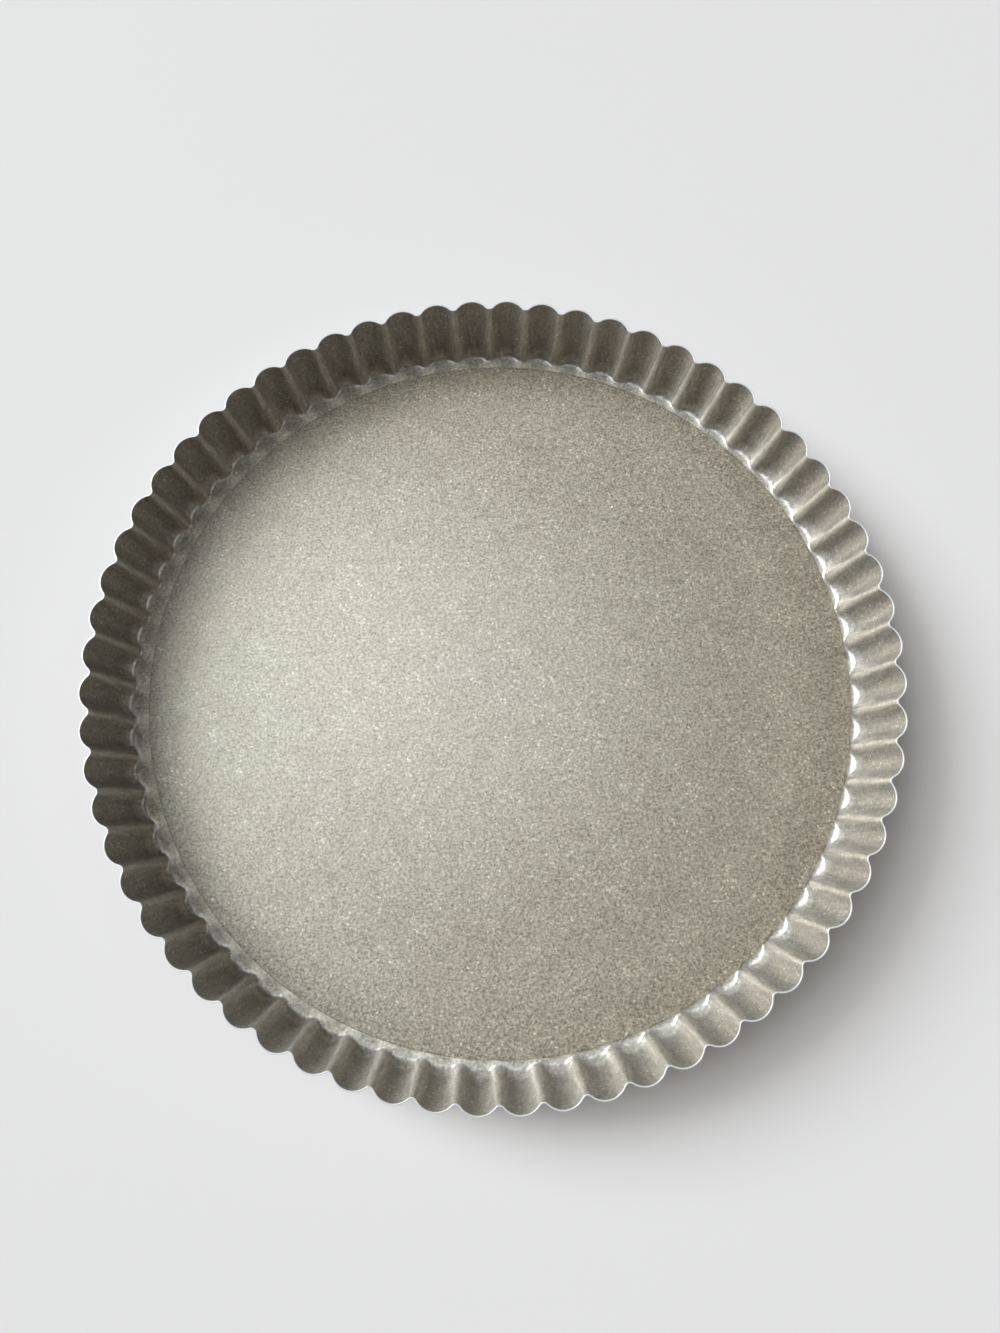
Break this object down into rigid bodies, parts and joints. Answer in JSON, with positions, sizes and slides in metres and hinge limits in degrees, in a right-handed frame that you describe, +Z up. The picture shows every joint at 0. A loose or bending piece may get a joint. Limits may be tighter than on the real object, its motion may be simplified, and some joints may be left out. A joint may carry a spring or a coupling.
{
  "type": "fluted tart pan",
  "caption": "Round fluted tart pan of coated sheet steel: a fluted ring with an inward ledge, and a loose flat base that lies on the ledge and lifts out.",
  "frame": {"origin": "under the middle of the ring, on the plane it stands on", "axes": "+Z up out of the pan's mouth, +X through the bottom of a flute; the base has slid towards +X and a little towards -Y"},
  "size_m": [0.28, 0.28, 0.027],
  "materials": {
    "ring_coating": "satin metallic non-stick coating",
    "base_coating": "satin metallic non-stick coating"
  },
  "bodies": {
    "ring": {"fluted_ring": "ring_coating"},
    "base": {"loose_base": "base_coating"}
  },
  "joints": [
    {"name": "base_lift", "type": "slide", "parent": "ring", "child": "base", "axis": [0, 0, 1], "range_m": [0, 0.04]}
  ]
}
